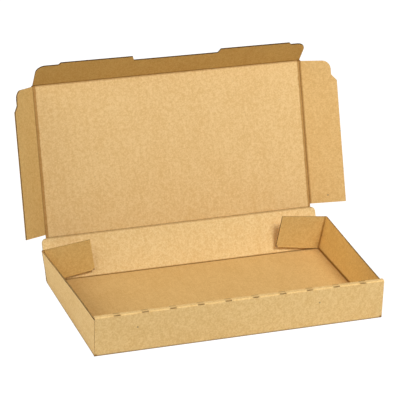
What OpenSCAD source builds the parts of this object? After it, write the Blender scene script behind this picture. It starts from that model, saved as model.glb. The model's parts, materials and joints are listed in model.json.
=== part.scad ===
// Corrugated mailer box: a shallow tray with a tuck-in lid, folded from one die-cut sheet of kraft board.
// The lid stands open. X runs along the front, Y to the back, Z up, and the origin is the middle of the
// tray's underside.

/* [Board] */
// Thickness of the corrugated board
board_t = 1.5; // [1.2:0.1:1.8]
// Gap between a fold's round nose and the panel that swings on it
fold_clear = 0.1; // [0.05:0.05:0.2]
// Width of the pressed crease on a panel's inner face, from the fold line
crease_w = 1.8; // [1.4:0.1:2.6]
// Depth of the pressed crease
crease_d = 0.5; // [0.2:0.05:0.6]

/* [Tray] */
// Width of the tray over its side walls
tray_w = 325; // [260:1:400]
// Depth of the tray from the front face to the upright back wall
tray_d = 178; // [150:1:230]
// Height of the front
tray_h = 45; // [43:0.5:60]
// Width of the flat band on top of the rolled-over front
front_band = 6.5; // [6:0.1:9]
// Height of the side walls
side_h = 41.7; // [36:0.1:42]
// How far the side walls lean out at their back edge
side_splay = 6.5; // [1:0.5:10]
// How late the side walls begin to lean out: 1 is evenly
splay_power = 1.3; // [1:0.1:2]
// Length of the tabs locked inside the front
front_tab_l = 40; // [25:1:60]
// Gap around the locked tabs and the front's inner wall
tab_clear = 0.6; // [0.3:0.1:0.8]

/* [Corner flaps] */
// Length of the two flaps along the back
corner_flap_l = 54; // [35:1:70]
// How much lower the flaps are at their free end than at their fold
corner_flap_fall = 2.2; // [2:0.1:4]
// Gap between the corner flaps and the back wall when it stands up
corner_clear = 0.3; // [0.2:0.1:0.6]

/* [Back wall] */
// Height of the back wall between its two folds
back_h = 48; // [47.5:0.5:64]
// How far the back wall leans back
back_lean = 26; // [15:1:40]
// Radius of its top corners
back_corner_r = 5; // [2:0.5:10]

/* [Lid] */
// How far the lid leans back
lid_lean = 20; // [12:1:30]
// Gap between the lid's tucked flaps and the side walls
lid_side_clear = 3; // [1:0.1:4]
// Gap between the lid's tucked front flap and the front's inner wall
lid_front_clear = 1; // [0.9:0.1:2]

/* [Lid side flaps] */
// Depth of the side flaps
side_flap_d = 41.5; // [30:0.5:42]
// Distance from the lid's fold line to the back end of the side flaps
side_flap_gap = 4; // [3:0.5:8]
// Gap between the front ends of the side flaps and the folded front flap
side_flap_clear = 0.4; // [0.4:0.1:2]
// Depth of the narrower front end of the side flaps
side_nose_d = 35.5; // [24:0.5:38]
// Length of the narrower front end
side_nose_l = 18; // [14:1:30]
// Radius of its corner
side_nose_r = 10; // [4:0.5:12]
// Length of the slanted step up to the full depth
side_step_l = 7; // [3:0.5:12]
// How much the front edge falls back from the fold to the corner
side_nose_fall = 1.5; // [0.5:0.5:4]
// Fold of the left flap from flat
left_flap_angle = 44; // [20:1:44]
// Fold of the right flap from flat
right_flap_angle = 24; // [10:1:44]

/* [Lid front flap] */
// Depth of the two ears
ear_d = 35; // [30:0.5:38]
// Length of an ear
ear_l = 82; // [50:1:86]
// Depth of the front flap outside the ears
front_end_d = 31.8; // [24:0.1:33]
// Depth of the front flap between the ears
front_mid_d = 28.6; // [20:0.1:32]
// Distance between the ears
ear_apart = 103; // [40:1:110]
// How far the middle between the ears sits to the right
ear_offset = 3.5; // [-4:0.5:4]
// Length of the slant at the ends of an ear
ear_step_l = 2.5; // [1:0.5:6]
// Radius of the front flap's corners
front_corner_r = 10; // [4:0.5:14]
// Fold of the front flap from flat, in the middle
front_flap_angle = 50.5; // [30:0.5:70]
// How much less the left end is folded than the middle, and the right end more
front_twist = 2; // [0.5:0.5:2]

/* [Perforations] */
// Number of slits in each crease on top of the front
slit_n = 10; // [4:1:10]
// Distance between slits
slit_pitch = 30.7; // [18:0.1:31]
// Length of a slit
slit_l = 7.4; // [3:0.1:12]
// Width of a slit
slit_w = 0.8; // [0.4:0.1:1.2]

/* [Hidden] */
$fn = 48;
kraft = "#dcb37c";
kraft_light = "#e6c089";
kraft_dark = "#c99a5e";
eps = 0.01;
past = 1; // how far a cut runs past the board

// Folds: a parent panel ends in a round nose on the fold's axis, and the child starts fold_start from it
half_t = board_t / 2;
fold_start = half_t + fold_clear;

// Places of the tray's folds
front_y = -tray_d / 2;
back_y = tray_d / 2;
inner_x = tray_w / 2 - board_t;
wall_front_y = front_y + board_t;
back_axis_y = back_y - half_t;
wall_back_y = back_y - 2 * board_t - corner_clear;
wall_l = side_h - board_t;
wall_tilt = asin(side_splay / wall_l);
wall_steps = 12;

// Places of the lid's folds, measured from the axis between back wall and lid
lid_l = tray_d - 2 * half_t - front_band - lid_front_clear;
fold_x = inner_x - lid_side_clear - half_t;

// Turns a profile drawn as depth and height into a bar of this length along X
module along_x(length) {
    translate([-length / 2, 0, 0])
        rotate([90, 0, 90])
            linear_extrude(length)
                children();
}

// A round nose along X on the axis of a fold
module nose_x(length) {
    along_x(length) circle(half_t);
}

// The pressed groove that a crease leaves on an inner face, seen along the fold: it starts at the fold and
// runs out along the panel, whose inner face is at +half_t
module crease_profile() {
    polygon([[-eps, half_t + eps], [crease_w, half_t + eps],
             [0, half_t - crease_d], [-eps, half_t - crease_d]]);
}

// A 90 degree fold seen along its line, with its sharp inner corner at the origin
module fold_quarter() {
    intersection() {
        circle(board_t);
        square(board_t);
    }
}

// Side wall: how far its top leans out at a place along the tray
function splay_at(y) = side_splay * pow((y - wall_front_y) / (wall_back_y - wall_front_y), splay_power);
function tilt_at(y) = asin(splay_at(y) / wall_l);

// The right side wall's section at a place along the tray, with a pointed foot that is sunk in the fold
function wall_section(y) =
    let (a = tilt_at(y), up = [sin(a), cos(a)], out = [cos(a), -sin(a)], foot = [inner_x, board_t],
         top = foot + wall_l * up, root = foot + half_t * (out - up))
        [for (p = [foot, top, top + board_t * out, foot + board_t * out, root]) [p[0], y, p[1]]];

// Faces of a closed tube of sections with this many corners each
function tube_faces(sections, corners) = concat(
    [[for (k = [0:corners - 1]) k]],
    [for (i = [0:sections - 2], k = [0:corners - 1])
        each let (a = corners * i + k, b = corners * i + (k + 1) % corners)
            [[b + corners, b, a], [a + corners, b + corners, a]]],
    [[for (k = [corners - 1:-1:0]) corners * (sections - 1) + k]]);

// The right side wall, upright at the front and leaning out towards the back
module side_wall() {
    stations = [for (i = [0:wall_steps]) let (t = i / wall_steps) (1 - t) * wall_front_y + t * wall_back_y];
    polyhedron([for (y = stations) each wall_section(y)], tube_faces(wall_steps + 1, 5));
}

// Moves to the right back corner's fold, with local Z along the side wall's leaning back edge
module at_corner() {
    translate([inner_x, wall_back_y, board_t])
        rotate([0, wall_tilt, 0])
            children();
}

// One side of the tray: the fold at the floor, the wall, its back corner and the tab locked in the front
module tray_side() {
    translate([inner_x, wall_back_y + board_t, board_t])
        rotate([90, 0, 0])
            linear_extrude(wall_back_y + board_t - wall_front_y)
                mirror([0, 1])
                    fold_quarter();
    side_wall();
    at_corner()
        linear_extrude(wall_l)
            fold_quarter();
    translate([inner_x - front_tab_l, wall_front_y + tab_clear, board_t + tab_clear])
        cube([front_tab_l + half_t, board_t, wall_l - tab_clear]);
}

// Section of the front: outer wall, flat top and inner wall, in one strip folded round
module front_profile() {
    top = tray_h - board_t;
    inner = front_band - board_t;
    translate([board_t, board_t]) rotate(180) fold_quarter();
    translate([0, board_t]) square([board_t, top - board_t]);
    translate([board_t, top]) rotate(90) fold_quarter();
    translate([board_t, top]) square([inner - board_t, board_t]);
}

// The inner wall stops short of the side walls, which lock between the two layers
module front() {
    top = tray_h - board_t;
    inner = front_band - board_t;
    translate([0, front_y, 0]) {
        along_x(tray_w) front_profile();
        along_x(tray_w) translate([inner, top]) fold_quarter();
        along_x(2 * (inner_x - tab_clear))
            translate([inner, board_t - eps])
                square([board_t, top - board_t + 2 * eps]);
    }
}

// The slits that let the two creases on top of the front fold square
module front_slits() {
    for (i = [0:slit_n - 1], edge = [board_t, front_band - board_t])
        translate([(i - (slit_n - 1) / 2) * slit_pitch, front_y + edge, tray_h - board_t])
            rotate([edge == board_t ? 45 : -45, 0, 0])
                translate([-slit_l / 2, -slit_w / 2, -past])
                    cube([slit_l, slit_w, board_t + 2 * past]);
}

module tray() {
    color(kraft)
        difference() {
            union() {
                translate([-inner_x, wall_front_y, 0])
                    cube([2 * inner_x, back_axis_y - wall_front_y, board_t]);
                translate([0, back_axis_y, half_t]) nose_x(2 * inner_x);
                front();
                for (side = [0, 1]) mirror([side, 0, 0]) tray_side();
            }
            front_slits();
            translate([0, back_axis_y, half_t]) along_x(2 * (inner_x + past)) mirror([1, 0]) crease_profile();
        }
}

// A flap along the back, folded in from a side wall's back edge
module corner_flap() {
    low = 2 * fold_clear;
    top = wall_l - fold_clear;
    at_corner()
        translate([0, board_t, 0])
            rotate([90, 0, 0])
                linear_extrude(board_t)
                    polygon([[-fold_clear, low], [-fold_clear, top], [-corner_flap_l, top - corner_flap_fall],
                             [-corner_flap_l, low]]);
}

module right_corner_flap() {
    color(kraft_dark) corner_flap();
}

module left_corner_flap() {
    color(kraft_dark) mirror([1, 0, 0]) corner_flap();
}

// Moves to the fold between floor and back wall, with local Y up along the back wall and Z to its inner face
module at_back_wall() {
    translate([0, back_axis_y, half_t])
        rotate([90 - back_lean, 0, 0])
            children();
}

// Moves to the fold between back wall and lid, with local Y along the lid and Z to its inner face
module at_lid() {
    translate([0, back_axis_y + back_h * sin(back_lean), half_t + back_h * cos(back_lean)])
        rotate([90 - lid_lean, 0, 0])
            children();
}

// A panel of board from its drawing, with the fold's plane in its middle
module board() {
    translate([0, 0, -half_t])
        linear_extrude(board_t)
            children();
}

module back_wall() {
    color(kraft_light)
        at_back_wall()
            difference() {
                union() {
                    board() {
                        translate([-tray_w / 2, fold_start])
                            square([tray_w, back_h - back_corner_r - fold_start]);
                        translate([back_corner_r - tray_w / 2, fold_start])
                            square([tray_w - 2 * back_corner_r, back_h - fold_start]);
                        for (side = [-1, 1])
                            translate([side * (tray_w / 2 - back_corner_r), back_h - back_corner_r])
                                circle(back_corner_r);
                    }
                    translate([0, back_h, 0]) nose_x(2 * fold_x);
                }
                along_x(tray_w + 2 * past) crease_profile();
                translate([0, back_h, 0]) along_x(2 * (fold_x + past)) mirror([1, 0]) crease_profile();
            }
}

module lid_panel() {
    color(kraft_light)
        at_lid()
            difference() {
                union() {
                    board() translate([-fold_x, fold_start]) square([2 * fold_x, lid_l - fold_start]);
                    translate([0, lid_l, 0]) nose_x(2 * fold_x);
                    for (side = [-1, 1])
                        translate([side * fold_x, side_flap_gap, 0])
                            rotate([-90, 0, 0])
                                cylinder(h = lid_l - side_flap_gap, r = half_t);
                }
                along_x(2 * (fold_x + past)) crease_profile();
                translate([0, lid_l, 0]) along_x(2 * (fold_x + past)) mirror([1, 0]) crease_profile();
                for (side = [0, 1])
                    mirror([side, 0, 0])
                        translate([fold_x, side_flap_gap, 0])
                            rotate([90, 0, 180])
                                linear_extrude(lid_l - side_flap_gap)
                                    crease_profile();
            }
}

// Outline of a side flap: depth from the fold along X, distance from the lid's back fold along Y
function side_flap_outline() =
    let (front = lid_l - half_t - side_flap_clear, deep = side_nose_d - side_nose_r)
        concat([[fold_start, side_flap_gap], [side_flap_d, side_flap_gap],
                [side_flap_d, front - side_nose_l - side_step_l], [side_nose_d, front - side_nose_l]],
               [for (a = [0:15:90])
                   [deep + side_nose_r * cos(a), front - side_nose_fall - side_nose_r * (1 - sin(a))]],
               [[fold_start, front]]);

// A side flap of the lid, hinged on the right fold and turned inwards by its fold angle
module side_flap(angle) {
    at_lid()
        translate([fold_x, 0, 0])
            rotate([0, -angle, 0])
                difference() {
                    board() polygon(side_flap_outline());
                    translate([0, side_flap_gap - past, 0])
                        rotate([90, 0, 0])
                            mirror([0, 0, 1])
                                linear_extrude(lid_l - side_flap_gap + 2 * past)
                                    crease_profile();
                }
}

module lid_right_flap() {
    color(kraft) side_flap(right_flap_angle);
}

module lid_left_flap() {
    color(kraft_dark) mirror([1, 0, 0]) side_flap(left_flap_angle);
}

// Where the front flap's drawing changes, from its left end to its right, each with its depth there
ear_ends = [for (side = [-1, 1]) ear_offset + side * ear_apart / 2];
front_flap_edge =
    let (left = ear_ends[0], right = ear_ends[1], r = front_corner_r, slant = ear_step_l)
        concat([for (a = [0:15:90]) [-fold_x + r * (1 - cos(a)), front_end_d - r + r * sin(a)]],
               [[left - ear_l - slant, front_end_d], [left - ear_l, ear_d], [left, ear_d],
                [left + slant, front_mid_d], [0, front_mid_d], [right - slant, front_mid_d],
                [right, ear_d], [right + ear_l, ear_d], [right + ear_l + slant, front_end_d]],
               [for (a = [90:-15:0]) [fold_x - r * (1 - cos(a)), front_end_d - r + r * sin(a)]]);

// The four corners of the front flap's section at one place: x, depth and the fold there
function front_flap_section(x, depth) =
    let (angle = front_flap_angle + front_twist * x / fold_x,
         out = [cos(angle), sin(angle)], inwards = [-sin(angle), cos(angle)])
        [for (p = [[fold_start, -half_t], [depth, -half_t], [depth, half_t], [fold_start, half_t]])
            let (q = p[0] * out + p[1] * inwards) [x, q[0], q[1]]];

// The tuck-in flap at the lid's front edge, slightly twisted along its length
module lid_front_flap() {
    color(kraft_dark)
        at_lid()
            translate([0, lid_l, 0])
                polyhedron([for (p = front_flap_edge) each front_flap_section(p[0], p[1])],
                           tube_faces(len(front_flap_edge), 4));
}

tray();
back_wall();
lid_panel();
lid_front_flap();
lid_left_flap();
lid_right_flap();
left_corner_flap();
right_corner_flap();
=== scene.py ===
import json
import math

import bpy
from mathutils import Matrix, Vector


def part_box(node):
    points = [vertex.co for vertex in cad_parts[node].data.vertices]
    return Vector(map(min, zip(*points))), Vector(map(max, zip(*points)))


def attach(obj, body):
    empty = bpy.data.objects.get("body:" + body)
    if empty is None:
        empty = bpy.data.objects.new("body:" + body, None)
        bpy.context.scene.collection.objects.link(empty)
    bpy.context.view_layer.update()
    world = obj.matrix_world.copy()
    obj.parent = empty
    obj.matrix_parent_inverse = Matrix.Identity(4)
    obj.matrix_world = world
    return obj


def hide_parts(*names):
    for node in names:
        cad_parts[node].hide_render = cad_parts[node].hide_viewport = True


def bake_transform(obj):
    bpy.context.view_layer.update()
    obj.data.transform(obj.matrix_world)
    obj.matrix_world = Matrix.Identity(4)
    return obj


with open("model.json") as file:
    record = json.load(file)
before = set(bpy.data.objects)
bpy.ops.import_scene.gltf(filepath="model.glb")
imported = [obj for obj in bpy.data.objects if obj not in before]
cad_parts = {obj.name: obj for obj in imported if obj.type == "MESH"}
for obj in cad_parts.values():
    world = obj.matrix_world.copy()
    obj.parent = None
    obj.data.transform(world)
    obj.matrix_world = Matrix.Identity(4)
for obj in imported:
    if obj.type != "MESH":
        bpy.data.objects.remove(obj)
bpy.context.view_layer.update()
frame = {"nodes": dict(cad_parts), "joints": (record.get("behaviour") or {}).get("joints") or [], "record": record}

# Camera: stands in front of the box, to its left and above it, and looks down through a long lens,
# turned slightly to one side as the hand-held view is.
CAMERA_AT = (-0.80139, -2.08243, 1.1389)
CAMERA_TURN = (65.425, -2.052, -19.656)
CAMERA_LENS = 206.3
FILM_WIDTH = 36
FAR_LIMIT = 20
camera_data = bpy.data.cameras.new("camera")
camera_data.sensor_width = FILM_WIDTH
camera_data.lens = CAMERA_LENS
camera_data.clip_end = FAR_LIMIT
camera = bpy.data.objects.new("camera", camera_data)
camera.location = CAMERA_AT
camera.rotation_euler = [math.radians(angle) for angle in CAMERA_TURN]
bpy.context.scene.collection.objects.link(camera)
bpy.context.scene.camera = camera

# Tray: floor, two side walls and the rolled-over double front, folded from one sheet of E-flute board.
# Hidden tabs lock the side walls inside the front, whose top is slit at its creases. The flutes run from front
# to back, so the side walls' top edges and the front's ends show the long gap between the liners.
BOARD = 0.0015
HALF = BOARD / 2
LINER = 0.00028
CUT_DEPTH = 0.0011
CUT_SLOPE = 0.00002
SAME_POINT = 0.00001
SMOOTH_UNDER = math.radians(28)
tray_low, tray_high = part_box("tray")


def take(piece):
    """Leaves only this piece selected and active."""
    bpy.ops.object.select_all(action="DESELECT")
    piece.select_set(True)
    bpy.context.view_layer.objects.active = piece


def board_piece(node, body):
    """A copy of a piece's solid, joined up, that is cut and finished in its place."""
    piece = bpy.data.objects.new(node + "_board", frame["nodes"][node].data.copy())
    bpy.context.scene.collection.objects.link(piece)
    take(piece)
    bpy.ops.object.mode_set(mode="EDIT")
    bpy.ops.mesh.select_all(action="SELECT")
    bpy.ops.mesh.remove_doubles(threshold=SAME_POINT)
    bpy.ops.object.mode_set(mode="OBJECT")
    bpy.ops.mesh.customdata_custom_splitnormals_clear()
    piece.data.materials.clear()
    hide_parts(node)
    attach(piece, body)
    return piece


def open_long_edge(piece, place, is_edge):
    """Sinks the middle of a cut edge that runs along the flutes, between the two liners."""
    inverse = place.inverted()
    turn = inverse.to_3x3()
    take(piece)
    bpy.ops.object.mode_set(mode="EDIT")
    bpy.ops.mesh.select_mode(type="FACE")
    bpy.ops.mesh.select_all(action="DESELECT")
    bpy.ops.object.mode_set(mode="OBJECT")
    for face in piece.data.polygons:
        face.select = is_edge(inverse @ face.center, turn @ face.normal)
    bpy.ops.object.mode_set(mode="EDIT")
    bpy.ops.mesh.dissolve_faces(use_verts=False)
    bpy.ops.mesh.inset(thickness=LINER, use_even_offset=False)
    bpy.ops.mesh.inset(thickness=CUT_SLOPE, depth=-CUT_DEPTH, use_even_offset=False)
    bpy.ops.object.mode_set(mode="OBJECT")


def finish_edges(piece):
    """Keeps cuts and folds crisp, and shades what is rounded smoothly."""
    take(piece)
    bpy.ops.object.shade_smooth_by_angle(angle=SMOOTH_UNDER)
    weigh = piece.modifiers.new("weigh", "WEIGHTED_NORMAL")
    weigh.keep_sharp = True
    weigh.weight = 100
    bpy.ops.object.modifier_apply(modifier=weigh.name)


def step(tree, kind, feeds=None, **settings):
    """One node of a material, with its settings and what feeds its sockets: a value or a node's output."""
    node = tree.nodes.new("ShaderNode" + kind)
    for name, value in settings.items():
        setattr(node, name, value)
    for name, value in (feeds or {}).items():
        if isinstance(value, bpy.types.NodeSocket):
            tree.links.new(value, node.inputs[name])
        else:
            node.inputs[name].default_value = value
    return node


def effect(name, takes, gives):
    """An empty effect that materials share, with its named inputs and outputs."""
    tree = bpy.data.node_groups.new(name, "ShaderNodeTree")
    for side, sockets in (("INPUT", takes), ("OUTPUT", gives)):
        for socket, kind in sockets:
            tree.interface.new_socket(name=socket, in_out=side, socket_type="NodeSocket" + kind)
    return tree, tree.nodes.new("NodeGroupInput"), tree.nodes.new("NodeGroupOutput")


# Kraft liner: brown pulp with a fine grain, blotches, clouds, streaks and fibres that lie along the flutes, a
# few dark flecks, and the faint washboard of the flutes behind it. Painted light makes it paler to the right.
FLUTE_PITCH = 0.0033
FLECK = (0.3, 0.17, 0.07, 1)
PAINTED_LIGHT_TO_RIGHT = 0.45
liner, given, result = effect(
    "kraft_liner",
    [("Vector", "Vector"), ("Light", "Color"), ("Dark", "Color"), ("Across", "Float")],
    [("Color", "Color"), ("Roughness", "Float"), ("Height", "Float")])
where = given.outputs["Vector"]
blotches = step(liner, "TexNoise", {"Vector": where, "Scale": 240, "Detail": 4, "Roughness": 0.6})
clouds = step(liner, "TexNoise", {"Vector": where, "Scale": 26, "Detail": 2})
along = step(liner, "Mapping", {"Vector": where, "Scale": (1, 0.05, 1)})
streaks = step(liner, "TexNoise", {"Vector": along.outputs[0], "Scale": 480, "Detail": 3})
short = step(liner, "Mapping", {"Vector": where, "Scale": (1, 0.3, 1)})
fibres = step(liner, "TexNoise", {"Vector": short.outputs[0], "Scale": 2600, "Detail": 2})
grain = step(liner, "TexNoise", {"Vector": where, "Scale": 680, "Detail": 2})
mixture = 0.0
for texture, share in ((blotches, 0.27), (clouds, 0.1), (streaks, 0.1), (grain, 0.45), (fibres, 0.08)):
    mixture = step(liner, "Math", {0: texture.outputs["Fac"], 1: share, 2: mixture},
                   operation="MULTIPLY_ADD").outputs[0]
spread = step(liner, "MapRange", {"Value": mixture, "From Min": 0.42, "From Max": 0.58})
pulp = step(liner, "Mix", {0: spread.outputs[0], 6: given.outputs["Dark"], 7: given.outputs["Light"]},
            data_type="RGBA")
flecks = step(liner, "TexNoise", {"Vector": where, "Scale": 700, "Detail": 1})
fleck = step(liner, "MapRange", {"Value": flecks.outputs["Fac"], "From Min": 0.74, "From Max": 0.8,
                                 "To Max": 0.4})
flecked = step(liner, "Mix", {0: fleck.outputs[0], 6: pulp.outputs[2], 7: FLECK}, data_type="RGBA")
# Painted light: the colour grows paler towards the right
painted_drift = step(liner, "Math", {0: given.outputs["Across"], 1: PAINTED_LIGHT_TO_RIGHT, 2: 1.0},
             operation="MULTIPLY_ADD")
shade = step(liner, "VectorMath", {0: flecked.outputs[2], "Scale": painted_drift.outputs[0]}, operation="SCALE")
liner.links.new(shade.outputs[0], result.inputs["Color"])
rough = step(liner, "MapRange", {"Value": blotches.outputs["Fac"], "To Min": 0.78, "To Max": 0.95})
liner.links.new(rough.outputs[0], result.inputs["Roughness"])
sides = step(liner, "SeparateXYZ", {0: given.outputs["Vector"]})
phase = step(liner, "Math", {0: sides.outputs["X"], 1: 2 * math.pi / FLUTE_PITCH}, operation="MULTIPLY")
bars = step(liner, "Math", {0: phase.outputs[0]}, operation="SINE")
washboard = step(liner, "Math", {0: bars.outputs[0], 1: 0.1}, operation="MULTIPLY")
relief = step(liner, "Math", {0: fibres.outputs["Fac"], 1: 0.5, 2: washboard.outputs[0]},
              operation="MULTIPLY_ADD")
liner.links.new(relief.outputs[0], result.inputs["Height"])

# Painted shade in a crease: a darker band along a fold, with a ragged edge
crease_shade_group, given, result = effect(
    "painted_crease_shade",
    [("Vector", "Vector"), ("Coordinate", "Float"), ("At", "Float"), ("Half width", "Float"),
     ("Ragged", "Float")],
    [("Mask", "Float")])
waves = step(crease_shade_group, "TexNoise", {"Vector": given.outputs["Vector"], "Scale": 150, "Detail": 3})
wave = step(crease_shade_group, "Math", {0: waves.outputs["Fac"], 1: 0.5}, operation="SUBTRACT")
shift = step(crease_shade_group, "Math", {0: wave.outputs[0], 1: given.outputs["Ragged"]}, operation="MULTIPLY")
off = step(crease_shade_group, "Math", {0: given.outputs["Coordinate"], 1: given.outputs["At"]}, operation="SUBTRACT")
away = step(crease_shade_group, "Math", {0: off.outputs[0]}, operation="ABSOLUTE")
edge = step(crease_shade_group, "Math", {0: away.outputs[0], 1: shift.outputs[0]}, operation="ADD")
core = step(crease_shade_group, "Math", {0: given.outputs["Half width"], 1: 0.6}, operation="MULTIPLY")
band = step(crease_shade_group, "MapRange", {"Value": edge.outputs[0], "From Min": given.outputs["Half width"],
                                "From Max": core.outputs[0]}, interpolation_type="SMOOTHSTEP")
crease_shade_group.links.new(band.outputs[0], result.inputs["Mask"])

# Pulp lies between a lighter and a darker shade of the board's tone, in each of red, green and blue
LIGHT_PULP = (1.06, 1.1, 1.165)
DARK_PULP = (0.92, 0.87, 0.78)
PAPER_SHEEN = 0.22
# Spots: real specks, and painted contact shadow at the corner flaps' free lower corners
SPECK_AND_SHADOW = (0.3, 0.19, 0.1, 1)
# These multiply the board's colour as painted shade: in creases, on cut edges, slits and the foot (on cut edges
# partly the darker fluting), in folds, and between the liners
CREASE_SHADE = (0.64, 0.52, 0.36, 1)
EDGE_SHADE = (0.33, 0.27, 0.19, 1)
GAP_SHADE = (0.1, 0.075, 0.05, 1)
FOLD_SHADE = (0.5, 0.37, 0.22, 1)
CELL_SHADE = (0.3, 0.22, 0.14, 1)


def tint(tree, color, mask, tone):
    """The colour, multiplied by the tone as far as the mask is 1."""
    return step(tree, "Mix", {0: mask.outputs[0], 6: color, 7: tone},
                data_type="RGBA", blend_type="MULTIPLY").outputs[2]


def board_material(name, tone, place, creases=(), spots=(), regions=None, cells=None, twist=0.0,
                   outer_tone=None):
    """Kraft board on a panel: fibres along its flutes, painted shade in its creases, darker cut edges, partly the
    darker fluting and partly painted shade of the open cells, and its spots. Painted shade darkens what lies
    between the liners, beyond the given distance along an axis of the panel. The liner on the outer face, at the
    panel's negative Z, may have a tone of its own, without the painted shade in the piece's tone."""
    material = bpy.data.materials.new(name)
    material.use_nodes = True
    tree = material.node_tree
    shader = tree.nodes["Principled BSDF"]
    shader.inputs["Specular IOR Level"].default_value = PAPER_SHEEN
    here = step(tree, "TexCoord")
    turn = place.to_euler()
    moved = step(tree, "VectorMath", {0: here.outputs["Object"], 1: place.to_translation()},
                 operation="SUBTRACT")
    panel = step(tree, "VectorRotate", {"Vector": moved.outputs[0], "Rotation": turn},
                 rotation_type="EULER_XYZ", invert=True)
    normal = step(tree, "VectorRotate", {"Vector": here.outputs["Normal"], "Rotation": turn},
                  rotation_type="EULER_XYZ", invert=True)
    across = step(tree, "SeparateXYZ", {0: here.outputs["Object"]})
    coordinate = step(tree, "SeparateXYZ", {0: panel.outputs[0]})
    facing = step(tree, "SeparateXYZ", {0: normal.outputs[0]})
    paper = step(tree, "Group", node_tree=liner)
    tree.links.new(panel.outputs[0], paper.inputs["Vector"])
    tree.links.new(across.outputs["X"], paper.inputs["Across"])
    light = [part * lift for part, lift in zip(tone, LIGHT_PULP)] + [1]
    dark = [part * drop for part, drop in zip(tone, DARK_PULP)] + [1]
    paper.inputs["Light"].default_value = light
    paper.inputs["Dark"].default_value = dark
    color = paper.outputs["Color"]
    if regions:
        color = regions(tree, color, across, here)
    if outer_tone:
        behind = step(tree, "MapRange", {"Value": facing.outputs["Z"], "From Min": -0.3, "From Max": -0.6})
        change = [outer / inner for outer, inner in zip(outer_tone, tone)] + [1]
        color = tint(tree, color, behind, change)
    # Creases: bands of painted shade
    for axis, at, half_width, ragged, strength in creases:
        mark = step(tree, "Group", node_tree=crease_shade_group)
        tree.links.new(panel.outputs[0], mark.inputs["Vector"])
        tree.links.new(coordinate.outputs[axis], mark.inputs["Coordinate"])
        mark.inputs["At"].default_value = at
        mark.inputs["Half width"].default_value = half_width
        mark.inputs["Ragged"].default_value = ragged
        amount = step(tree, "Math", {0: mark.outputs["Mask"], 1: strength}, operation="MULTIPLY")
        color = tint(tree, color, amount, CREASE_SHADE)
    for spot, size, strength in spots:
        gap = step(tree, "VectorMath", {0: panel.outputs[0], 1: spot}, operation="DISTANCE")
        dot = step(tree, "MapRange", {"Value": gap.outputs["Value"], "From Min": size, "From Max": size * 0.5,
                                      "To Max": strength}, interpolation_type="SMOOTHSTEP")
        color = step(tree, "Mix", {0: dot.outputs[0], 6: color, 7: SPECK_AND_SHADOW}, data_type="RGBA").outputs[2]
    flat = step(tree, "Math", {0: facing.outputs["Z"]}, operation="ABSOLUTE")
    # Cut edges: partly the darker fluting, partly painted shade of the open cells
    cut = step(tree, "MapRange", {"Value": flat.outputs[0], "From Min": 0.75, "From Max": 0.45},
               interpolation_type="SMOOTHSTEP")
    if regions is None:
        color = tint(tree, color, cut, EDGE_SHADE)
    # Painted shade darkens the cells between the liners
    if cells:
        axis, start = cells
        wind = step(tree, "Math", {0: coordinate.outputs["X"], 1: coordinate.outputs["Y"]},
                    operation="MULTIPLY")
        depth = step(tree, "Math", {0: wind.outputs[0], 1: -twist, 2: coordinate.outputs["Z"]},
                     operation="MULTIPLY_ADD")
        depth = step(tree, "Math", {0: depth.outputs[0]}, operation="ABSOLUTE")
        within = step(tree, "Math", {0: depth.outputs[0], 1: HALF - LINER + CUT_SLOPE}, operation="LESS_THAN")
        far = step(tree, "Math", {0: coordinate.outputs[axis]}, operation="ABSOLUTE")
        beyond = step(tree, "Math", {0: far.outputs[0], 1: start}, operation="GREATER_THAN")
        hidden = step(tree, "Math", {0: within.outputs[0], 1: beyond.outputs[0]}, operation="MULTIPLY")
        color = tint(tree, color, hidden, CELL_SHADE)
    tree.links.new(color, shader.inputs["Base Color"])
    tree.links.new(paper.outputs["Roughness"], shader.inputs["Roughness"])
    bump = step(tree, "Bump", {"Strength": 0.5, "Distance": 0.00008, "Height": paper.outputs["Height"]})
    tree.links.new(bump.outputs[0], shader.inputs["Normal"])
    return material


FLOOR_SHADE = (0.855, 0.805, 0.71, 1)
INNER_WALL_SHADE = (0.91, 0.88, 0.66, 1)
RIDGE_HIGHLIGHT = (1.14, 1.13, 1.1, 1)
RIDGE_WIDTH = 0.0013
FOOT_H = 0.0022
FOOT_SHADE_H = 0.0008
FLOOR_H = 0.003
WALL_FOLD = 0.161
FOLD_SHADE_OUT = 0.0024
FOLD_SHADE_IN = 0.0008
WALL_TOP = 0.0414
FRONT_END = 0.1625
FRONT_BAND = 0.0066
SLIT_PITCH = 0.0307
SLIT_HALF = 0.0036
SLIT_ROWS = ((0.0015, 0.55), (0.005, 0.8))


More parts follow.
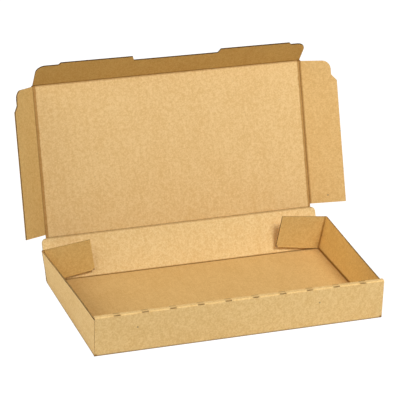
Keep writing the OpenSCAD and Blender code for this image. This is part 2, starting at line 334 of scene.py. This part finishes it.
def tray_regions(tree, color, across, here):
    """The tray's painted light and shade: the darker floor and inner walls, a highlight on the outer crease and
    shade in the slits on top of the front, and shade in the floor's folds, in the cut edges' gaps and at the foot."""
    # Painted shade makes the floor and the side walls' inner faces a deeper, warmer brown than the outside
    facing = step(tree, "SeparateXYZ", {0: here.outputs["Normal"]})
    up = step(tree, "MapRange", {"Value": facing.outputs["Z"], "From Min": 0.6, "From Max": 0.9})
    low = step(tree, "MapRange", {"Value": across.outputs["Z"],
                                  "From Min": FLOOR_H + 0.001, "From Max": FLOOR_H})
    on_floor = step(tree, "Math", {0: up.outputs[0], 1: low.outputs[0]}, operation="MULTIPLY")
    color = tint(tree, color, on_floor, FLOOR_SHADE)
    inward = step(tree, "Math", {0: facing.outputs["X"], 1: across.outputs["X"]}, operation="MULTIPLY")
    inner = step(tree, "MapRange", {"Value": inward.outputs[0], "From Min": -0.05, "From Max": -0.14})
    color = tint(tree, color, inner, INNER_WALL_SHADE)
    # The outer crease on top of the front stands up as a ridge, with a painted highlight along it
    ridge = step(tree, "VectorMath", {0: here.outputs["Object"], 1: (0, 1, 1)}, operation="MULTIPLY")
    away = step(tree, "VectorMath", {0: ridge.outputs[0], 1: (0, tray_low.y + HALF, tray_high.z - HALF / 2)},
                operation="DISTANCE")
    highlight_mask = step(tree, "MapRange", {"Value": away.outputs["Value"], "From Min": RIDGE_WIDTH,
                                   "From Max": RIDGE_WIDTH / 2})
    color = tint(tree, color, highlight_mask, RIDGE_HIGHLIGHT)
    # Both creases on top of the front are slit, and painted shade darkens the slits
    phase = step(tree, "Math", {0: across.outputs["X"], 1: SLIT_PITCH}, operation="PINGPONG")
    along = step(tree, "Math", {0: phase.outputs[0], 1: SLIT_PITCH / 2}, operation="SUBTRACT")
    along = step(tree, "Math", {0: along.outputs[0]}, operation="ABSOLUTE")
    in_slit = step(tree, "MapRange", {"Value": along.outputs[0], "From Min": SLIT_HALF + 0.0004,
                                      "From Max": SLIT_HALF})
    high = step(tree, "Math", {0: across.outputs["Z"], 1: tray_high.z - HALF}, operation="GREATER_THAN")
    for row, depth in SLIT_ROWS:
        off = step(tree, "Math", {0: across.outputs["Y"], 1: tray_low.y + row}, operation="SUBTRACT")
        off = step(tree, "Math", {0: off.outputs[0]}, operation="ABSOLUTE")
        beside = step(tree, "MapRange", {"Value": off.outputs[0], "From Min": 0.0008, "From Max": 0.0005,
                                          "To Max": depth})
        slit_shade = step(tree, "Math", {0: beside.outputs[0], 1: in_slit.outputs[0]}, operation="MULTIPLY")
        slit_shade = step(tree, "Math", {0: slit_shade.outputs[0], 1: high.outputs[0]}, operation="MULTIPLY")
        color = tint(tree, color, slit_shade, EDGE_SHADE)
    # Painted shade darkens the folds between the floor and the side walls
    wide = step(tree, "VectorMath", {0: here.outputs["Object"]}, operation="ABSOLUTE")
    wide = step(tree, "VectorMath", {0: wide.outputs[0], 1: (1, 0, 1)}, operation="MULTIPLY")
    away = step(tree, "VectorMath", {0: wide.outputs[0], 1: (WALL_FOLD, 0, BOARD)}, operation="DISTANCE")
    fold_shade_mask = step(tree, "MapRange", {"Value": away.outputs["Value"], "From Min": FOLD_SHADE_OUT,
                                      "From Max": FOLD_SHADE_IN})
    color = tint(tree, color, fold_shade_mask, FOLD_SHADE)
    # Cut edges: painted shade fills the gap between the liners on the side walls' tops and the ends of the front
    width = step(tree, "Math", {0: across.outputs["X"]}, operation="ABSOLUTE")
    on_wall = step(tree, "Math", {0: width.outputs[0], 1: tray_high.x - 0.0045, 2: 0.0052},
                   operation="COMPARE")
    at_top = step(tree, "Math", {0: across.outputs["Z"], 1: WALL_TOP, 2: 0.0011}, operation="COMPARE")
    top = step(tree, "Math", {0: on_wall.outputs[0], 1: at_top.outputs[0]}, operation="MULTIPLY")
    top = step(tree, "Math", {0: top.outputs[0], 1: up.outputs[0]}, operation="MULTIPLY")
    sideways = step(tree, "Math", {0: facing.outputs["X"]}, operation="ABSOLUTE")
    square = step(tree, "Math", {0: sideways.outputs[0], 1: 1.0, 2: 0.03}, operation="COMPARE")
    at_end = step(tree, "Math", {0: width.outputs[0], 1: FRONT_END, 2: 0.00015}, operation="COMPARE")
    in_front = step(tree, "Math", {0: across.outputs["Y"], 1: tray_low.y + HALF, 2: HALF},
                    operation="COMPARE")
    in_band = step(tree, "Math", {0: across.outputs["Z"], 1: tray_high.z - HALF, 2: HALF},
                   operation="COMPARE")
    end = step(tree, "Math", {0: in_front.outputs[0], 1: in_band.outputs[0]}, operation="MAXIMUM")
    end = step(tree, "Math", {0: end.outputs[0], 1: at_end.outputs[0]}, operation="MULTIPLY")
    end = step(tree, "Math", {0: end.outputs[0], 1: square.outputs[0]}, operation="MULTIPLY")
    cut = step(tree, "Math", {0: end.outputs[0], 1: top.outputs[0]}, operation="MAXIMUM")
    color = tint(tree, color, cut, GAP_SHADE)
    # Painted contact shadow darkens the folds at the foot
    foot = step(tree, "MapRange", {"Value": across.outputs["Z"], "From Min": FOOT_H,
                                   "From Max": FOOT_SHADE_H})
    outside = step(tree, "Math", {0: 1.0, 1: on_floor.outputs[0]}, operation="SUBTRACT")
    foot_shade_mask = step(tree, "Math", {0: foot.outputs[0], 1: outside.outputs[0]}, operation="MULTIPLY")
    return tint(tree, color, foot_shade_mask, EDGE_SHADE)


tray = board_piece("tray", "tray")
upright = Matrix.Identity(4)
# The face on top is parted where the front ends, so that the side walls' top edges are faces of their own
FRONT_BACK = tray_low.y + FRONT_BAND
take(tray)
bpy.ops.object.mode_set(mode="EDIT")
bpy.ops.mesh.select_all(action="SELECT")
bpy.ops.mesh.bisect(plane_co=(0, FRONT_BACK, 0), plane_no=(0, 1, 0))
bpy.ops.object.mode_set(mode="OBJECT")
for side in (-1, 1):
    open_long_edge(tray, upright, lambda at, facing: facing.z > 0.9 and abs(at.z - WALL_TOP) < 0.0012
                   and at.x * side > WALL_FOLD - 0.001 and at.y > FRONT_BACK)
    open_long_edge(tray, upright, lambda at, facing: facing.x * side > 0.9999
                   and at.x * side > FRONT_END - CUT_SLOPE
                   and (at.y < tray_low.y + BOARD or at.z > tray_high.z - BOARD))
finish_edges(tray)
tray_spots = [((-0.1157, tray_low.y, 0.0284), 0.0012, 0.85), ((0.0885, tray_low.y, 0.0285), 0.0011, 0.85),
              ((0.1634, -0.0264, 0.0417), 0.0018, 1.0)]
# Painted shade darkens the crease at the back of the floor
tray.data.materials.append(board_material(
    "kraft_tray_board", (0.8, 0.54, 0.226), upright,
    creases=[("Y", tray_high.y - 0.0006, 0.0016, 0.0006, 0.8)], spots=tray_spots, regions=tray_regions))

# Back wall: the panel between the floor and the lid, free at both ends. It leans back on the crease at the
# floor. The liner runs on round the outside of the fold, and the inside is pressed in.
joint_at = {joint["name"]: Vector(joint["pos_m"]) for joint in frame["joints"]}
rise = joint_at["lid_hinge"] - joint_at["back_wall_hinge"]
back_turn = math.atan2(rise.z, rise.y)
back_place = Matrix.Translation(joint_at["back_wall_hinge"]) @ Matrix.Rotation(back_turn, 4, "X")
back_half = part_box("back_wall")[1].x
FOLD_SKIN = 0.00006
FOLD_PROUD = 0.00001
FOLD_REACH = 0.0016
FOLD_STEPS = 8
CELLS_CLEAR = 0.0012
PAST = 0.002
BACK_CELLS = 0.012
BACK_FOLD_SHORT = 0.0081


def flute_cells(place, x_from, x_to, y_from, y_to):
    """The air cells between the liners, side by side: bars that taper to one liner and then to the other."""
    height = BOARD - 2 * LINER
    wide, narrow = 0.76 * FLUTE_PITCH, 0.12 * FLUTE_PITCH
    count = int((x_to - x_from - wide) / (FLUTE_PITCH / 2)) // 2 + 1
    start = (x_from + x_to) / 2 - (count - 1) * FLUTE_PITCH / 2 - FLUTE_PITCH / 4
    rows = []
    for row, side in enumerate((-1, 1)):
        bpy.ops.object.select_all(action="DESELECT")
        bpy.ops.mesh.primitive_cube_add(size=1)
        cell = bpy.context.object
        for vertex in cell.data.vertices:
            width = wide if vertex.co.z * side > 0 else narrow
            vertex.co = (start + row * FLUTE_PITCH / 2 + vertex.co.x * width,
                         (y_from + y_to) / 2 + vertex.co.y * (y_to - y_from), vertex.co.z * height)
        copies = cell.modifiers.new("copies", "ARRAY")
        copies.count = count
        copies.use_relative_offset = False
        copies.use_constant_offset = True
        copies.constant_offset_displace = (FLUTE_PITCH, 0, 0)
        bpy.ops.object.modifier_apply(modifier=copies.name)
        rows.append(cell)
    take(rows[0])
    rows[1].select_set(True)
    bpy.ops.object.join()
    rows[0].data.transform(place)
    return rows[0]


def cut_cells(piece, cells):
    """Cuts the cells out of a board and takes the bars away."""
    take(piece)
    cut = piece.modifiers.new("flutes", "BOOLEAN")
    cut.operation = "DIFFERENCE"
    cut.object = cells
    cut.solver = "EXACT"
    bpy.ops.object.modifier_apply(modifier=cut.name)
    bpy.data.objects.remove(cells)


def fold_liner(name, place, x_from, x_to, bend, parent, child, material, slot, outside=HALF,
               reach=FOLD_REACH):
    """The outer liner where it runs round a fold, as one skin from the standing panel to the swinging one.
    The place has X along the fold, Y from the standing panel on, and Z to the inner face."""
    bpy.ops.object.select_all(action="DESELECT")
    bpy.ops.mesh.primitive_plane_add(size=1, rotation=(math.pi / 2, 0, 0))
    skin = bpy.context.object
    skin.name = name
    skin.scale = (x_to - x_from, FOLD_SKIN + FOLD_PROUD, 1)
    skin.location = ((x_from + x_to) / 2, -reach, -outside + (FOLD_SKIN - FOLD_PROUD) / 2)
    bpy.ops.object.transform_apply(location=True, rotation=True, scale=True)
    bpy.ops.object.mode_set(mode="EDIT")
    bpy.ops.mesh.select_all(action="SELECT")
    bpy.ops.mesh.extrude_region_move(TRANSFORM_OT_translate={"value": (0, reach * 0.5, 0)})
    bpy.ops.mesh.extrude_region_move(TRANSFORM_OT_translate={"value": (0, reach * 0.5, 0)})
    bpy.ops.mesh.spin(steps=FOLD_STEPS, angle=-bend, center=(0, 0, 0), axis=(1, 0, 0))
    on = (0, reach * 0.5 * math.cos(bend), reach * 0.5 * math.sin(bend))
    bpy.ops.mesh.extrude_region_move(TRANSFORM_OT_translate={"value": on})
    bpy.ops.mesh.extrude_region_move(TRANSFORM_OT_translate={"value": on})
    bpy.ops.mesh.select_all(action="SELECT")
    bpy.ops.mesh.remove_doubles(threshold=0.000001)
    bpy.ops.mesh.normals_make_consistent(inside=False)
    bpy.ops.object.mode_set(mode="OBJECT")
    skin.data.transform(place)
    finish_edges(skin)
    skin.data.materials.append(material)
    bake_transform(skin)
    return skin


back_wall = board_piece("back_wall", "back_wall")
back_h = rise.length
open_long_edge(back_wall, back_place,
               lambda at, facing: abs(facing.x) > 0.99 and abs(at.x) > back_half - 0.0001)
fold_x = joint_at["right_flap_hinge"].x
for side in (-1, 1):
    ends = sorted((side * (fold_x + 0.0004), side * (back_half - CELLS_CLEAR)))
    cut_cells(back_wall, flute_cells(back_place, ends[0], ends[1], back_h - BACK_CELLS, back_h + PAST))
finish_edges(back_wall)
# The back wall's tone is the board's, made lighter with painted light; painted shade darkens its two creases
back_material = board_material(
    "kraft_back_board", (0.86, 0.61, 0.282), back_place,
    creases=[("Y", 0.0004, 0.0016, 0.0006, 0.7), ("Y", back_h, 0.0014, 0.0006, 0.5)],
    cells=("X", fold_x + 0.0002))
back_wall.data.materials.append(back_material)
fold_liner("back_wall_fold", Matrix.Translation(joint_at["back_wall_hinge"]), BACK_FOLD_SHORT - tray_high.x,
           tray_high.x - BACK_FOLD_SHORT, back_turn, "tray", "back_wall", back_material, "kraft_back")

# Lid: the large panel. It hangs on the back wall's top crease and carries a flap on each of its other sides.
# Its side creases were crushed wide and unevenly when the flaps were first folded, and painted shade darkens all
# its creases.
rise = joint_at["front_flap_hinge"] - joint_at["lid_hinge"]
lid_turn = math.atan2(rise.z, rise.y)
lid_l = rise.length
lid_place = Matrix.Translation(joint_at["lid_hinge"]) @ Matrix.Rotation(lid_turn, 4, "X")
lid = board_piece("lid_panel", "lid")
finish_edges(lid)
LID_TONE = (0.79, 0.532, 0.234)
lid_material = board_material(
    "kraft_lid_board", LID_TONE, lid_place,
    creases=[("X", fold_x - 0.0008, 0.0026, 0.0014, 1.0), ("X", 0.0008 - fold_x, 0.0026, 0.0014, 1.0),
             ("Y", 0, 0.0016, 0.0008, 0.7), ("Y", lid_l, 0.0022, 0.0008, 0.7)],
    spots=[((-0.0955, 0.062, HALF), 0.0007, 0.5)])
lid.data.materials.append(lid_material)
fold_liner("lid_fold", back_place @ Matrix.Translation((0, back_h, 0)), -fold_x, fold_x, lid_turn - back_turn,
           "back_wall", "lid", lid_material, "kraft_lid")

# Lid side flaps: they go down inside the side walls when the lid shuts. Their flutes run along the fold, so
# both ends show the open cells, and the long free edge shows the gap between the liners.
FLAP_BACK = 0.004
FLAP_STEP = 0.028
FLAP_CELLS = 0.006
flap_depth = 0.0415
flap_folds = {"right": math.radians(24), "left": math.radians(44)}
# The side flaps' tones are the board's, darkened with painted shade
flap_shaded_tones = {"right": (0.712, 0.456, 0.178), "left": (0.72, 0.467, 0.166)}
flap_spots = {"right": [((0.0215, 0.0125, HALF), 0.0012, 0.8), ((0.0412, 0.042, HALF), 0.001, 0.7),
                        ((0.0412, 0.085, HALF), 0.001, 0.7)], "left": []}
for side, name in ((1, "right"), (-1, "left")):
    fold = Matrix.Translation(joint_at[name + "_flap_hinge"]) @ Matrix.Rotation(lid_turn, 4, "X")
    place = fold @ Matrix.Rotation(-side * flap_folds[name], 4, "Y")
    flap = board_piece("lid_" + name + "_flap", "lid_" + name + "_flap")
    open_long_edge(flap, place, lambda at, facing: facing.x * side > 0.99 and at.x * side > 0.03)
    across = sorted((side * 0.0014, side * (flap_depth - 0.0013)))
    cut_cells(flap, flute_cells(place, *across, 0.0, FLAP_BACK + FLAP_CELLS))
    cut_cells(flap, flute_cells(place, *across, lid_l - FLAP_STEP, lid_l + PAST))
    finish_edges(flap)
    # Painted shade in the flap's tone and fold crease; its outer face keeps the lid's tone
    material = board_material("kraft_" + name + "_flap_board", flap_shaded_tones[name], place,
                              creases=[("X", side * 0.0004, 0.0022, 0.0008, 0.8)], spots=flap_spots[name],
                              cells=("X", 0.0024), outer_tone=LID_TONE)
    flap.data.materials.append(material)
    along = fold @ Matrix.Rotation(-side * math.pi / 2, 4, "Z")
    ends = sorted((-side * FLAP_BACK, -side * lid_l))
    fold_liner("lid_" + name + "_fold", along, *ends, flap_folds[name], "lid", "lid_" + name + "_flap",
               material, "kraft_lid_flaps")

# Front flap: it tucks in behind the front. It has two ears, rounded corners and a slight twist. Its flutes
# run across it, so its whole free edge shows the open cells as a dotted line.
FRONT_FOLD = math.radians(50.5)
FRONT_TWIST = math.radians(2)
FRONT_CELLS_FROM = 0.02
FRONT_CELLS_TO = 0.037
front_turn = Matrix.Rotation(lid_turn + FRONT_FOLD, 4, "X")
front_place = Matrix.Translation(joint_at["front_flap_hinge"]) @ front_turn
front_flap = board_piece("lid_front_flap", "lid_front_flap")
open_long_edge(front_flap, front_place, lambda at, facing: abs(facing.x) > 0.99)
cells = flute_cells(upright, CELLS_CLEAR - fold_x, fold_x - CELLS_CLEAR,
                    FRONT_CELLS_FROM, FRONT_CELLS_TO)
for vertex in cells.data.vertices:
    vertex.co = front_place @ Matrix.Rotation(FRONT_TWIST * vertex.co.x / fold_x, 4, "X") @ vertex.co
cut_cells(front_flap, cells)
finish_edges(front_flap)
# The front flap's tone is the board's, darkened strongly with painted shade, and painted shade darkens its fold
# crease; its outer face keeps the lid's tone
front_material = board_material("kraft_front_flap_board", (0.58, 0.348, 0.098), front_place,
                                creases=[("Y", 0.0004, 0.002, 0.0008, 0.7)],
                                cells=("Y", FRONT_CELLS_FROM), twist=FRONT_TWIST / fold_x, outer_tone=LID_TONE)
front_flap.data.materials.append(front_material)
fold_liner("lid_front_fold", lid_place @ Matrix.Translation((0, lid_l, 0)), -fold_x, fold_x, FRONT_FOLD,
           "lid", "lid_front_flap", front_material, "kraft_lid_flaps", reach=0.0012)

# Corner flaps: each is folded in from a side wall's back edge and stands loose in front of the back wall.
# Their flutes run along them, so the free end shows the open cells.
corner_l = 0.054
corner_low, corner_high = 0.0002, 0.0379
corner_fold_high = 0.04
CORNER_CELLS = 0.008
# The corner flaps' tones are the board's, darkened with painted shade
corner_shaded_tones = {"right": (0.7, 0.475, 0.172), "left": (0.77, 0.515, 0.18)}
corner_axes = {joint["name"]: joint["axis"] for joint in frame["record"]["behaviour"]["joints"]}
tilt = math.asin(corner_axes["right_corner_hinge"][0])


def lay(across, along, up):
    """The turn that lays a panel's three axes along these ways."""
    return Matrix((across, along, up)).transposed().to_4x4()


for side, name in ((1, "right"), (-1, "left")):
    fold = Matrix.Translation(joint_at[name + "_corner_hinge"]) @ Matrix.Rotation(side * tilt, 4, "Y")
    face = lay((0, 0, side), (-side, 0, 0), (0, -1, 0))
    place = fold @ Matrix.Translation((0, HALF, 0)) @ face
    flap = board_piece(name + "_corner_flap", name + "_corner_flap")
    open_long_edge(flap, place, lambda at, facing: abs(facing.x) > 0.98)
    ends = sorted((side * (corner_low + 0.0013), side * (corner_high - 0.0013)))
    cut_cells(flap, flute_cells(place, *ends, corner_l - CORNER_CELLS, corner_l + PAST))
    finish_edges(flap)
    # Painted shade darkens the fold crease, and a painted contact shadow sits at the flap's free lower corner
    material = board_material("kraft_" + name + "_corner_board", corner_shaded_tones[name], place,
                              creases=[("Y", 0.0004, 0.0022, 0.0008, 0.8)],
                              spots=[((side * corner_low, corner_l, 0), 0.003, 0.9)],
                              cells=("Y", corner_l - CORNER_CELLS))
    flap.data.materials.append(material)
    round_fold = lay((0, 0, side), (0, 1, 0), (-side, 0, 0))
    ends = sorted((side * corner_low, side * corner_fold_high))
    fold_liner(name + "_corner_fold", fold @ round_fold, *ends, math.pi / 2, "tray", name + "_corner_flap",
               material, "kraft_corner_flaps", outside=BOARD)

# Studio: a white floor and a white surround. A large soft lamp stands in front, to the right and above, and
# weaker ones stand on the left, so the flap that folds forward lies in shade. One behind lights the back.
FLOOR_SIZE = 3
FLOOR_WHITE = (0.85, 0.85, 0.85, 1)
FLOOR_GLOW = 1.2
GLOW_SHARE = 0.8
SURROUND_LIGHT = 0.12
LAMPS_AIM = Vector((0, 0, 0.08))
bpy.ops.object.select_all(action="DESELECT")
bpy.ops.mesh.primitive_plane_add(size=FLOOR_SIZE)
floor = bpy.context.object
floor.name = "floor"
floor_paint = bpy.data.materials.new("floor_paint")
floor_paint.use_nodes = True
tree = floor_paint.node_tree
shader = tree.nodes["Principled BSDF"]
shader.inputs["Base Color"].default_value = FLOOR_WHITE
shader.inputs["Roughness"].default_value = 0.9
glow = step(tree, "Emission", {"Strength": FLOOR_GLOW})
path = step(tree, "LightPath")
seen = step(tree, "Math", {0: path.outputs["Is Camera Ray"], 1: path.outputs["Is Glossy Ray"]},
            operation="MAXIMUM")
glowing = step(tree, "Math", {0: seen.outputs[0], 1: GLOW_SHARE}, operation="MULTIPLY")
mixed = step(tree, "MixShader", {0: glowing.outputs[0], 1: shader.outputs[0], 2: glow.outputs[0]})
tree.links.new(mixed.outputs[0], tree.nodes["Material Output"].inputs[0])
floor.data.materials.append(floor_paint)

# The camera sees a white surround, which lights the box only weakly
world = bpy.data.worlds.new("studio")
bpy.context.scene.world = world
world.use_nodes = True
tree = world.node_tree
path = step(tree, "LightPath")
strength = step(tree, "MapRange", {"Value": path.outputs["Is Camera Ray"], "To Min": SURROUND_LIGHT,
                                   "To Max": 1.0})
background = tree.nodes["Background"]
background.inputs["Color"].default_value = (1, 1, 1, 1)
tree.links.new(strength.outputs[0], background.inputs["Strength"])


def lamp(name, azimuth, height, distance, size, power):
    """A square soft lamp at this many degrees round from the front and up, turned to the box."""
    data = bpy.data.lights.new(name, "AREA")
    data.size = size
    data.energy = power
    turn, lift = math.radians(azimuth), math.radians(height)
    way = Vector((math.sin(turn) * math.cos(lift), -math.cos(turn) * math.cos(lift), math.sin(lift)))
    stand = bpy.data.objects.new(name, data)
    stand.location = LAMPS_AIM + distance * way
    stand.rotation_euler = way.to_track_quat("Z", "Y").to_euler()
    bpy.context.scene.collection.objects.link(stand)


lamp("front_lamp", 24, 50, 2.2, 0.7, 30.8)
lamp("side_lamp", -50, 40, 2.6, 1.0, 12)
lamp("left_lamp", -94, 28, 1.0, 0.5, 3.5)
lamp("back_lamp", 190, 24, 2.2, 0.8, 13)

bpy.context.scene.view_settings.view_transform = "Standard"
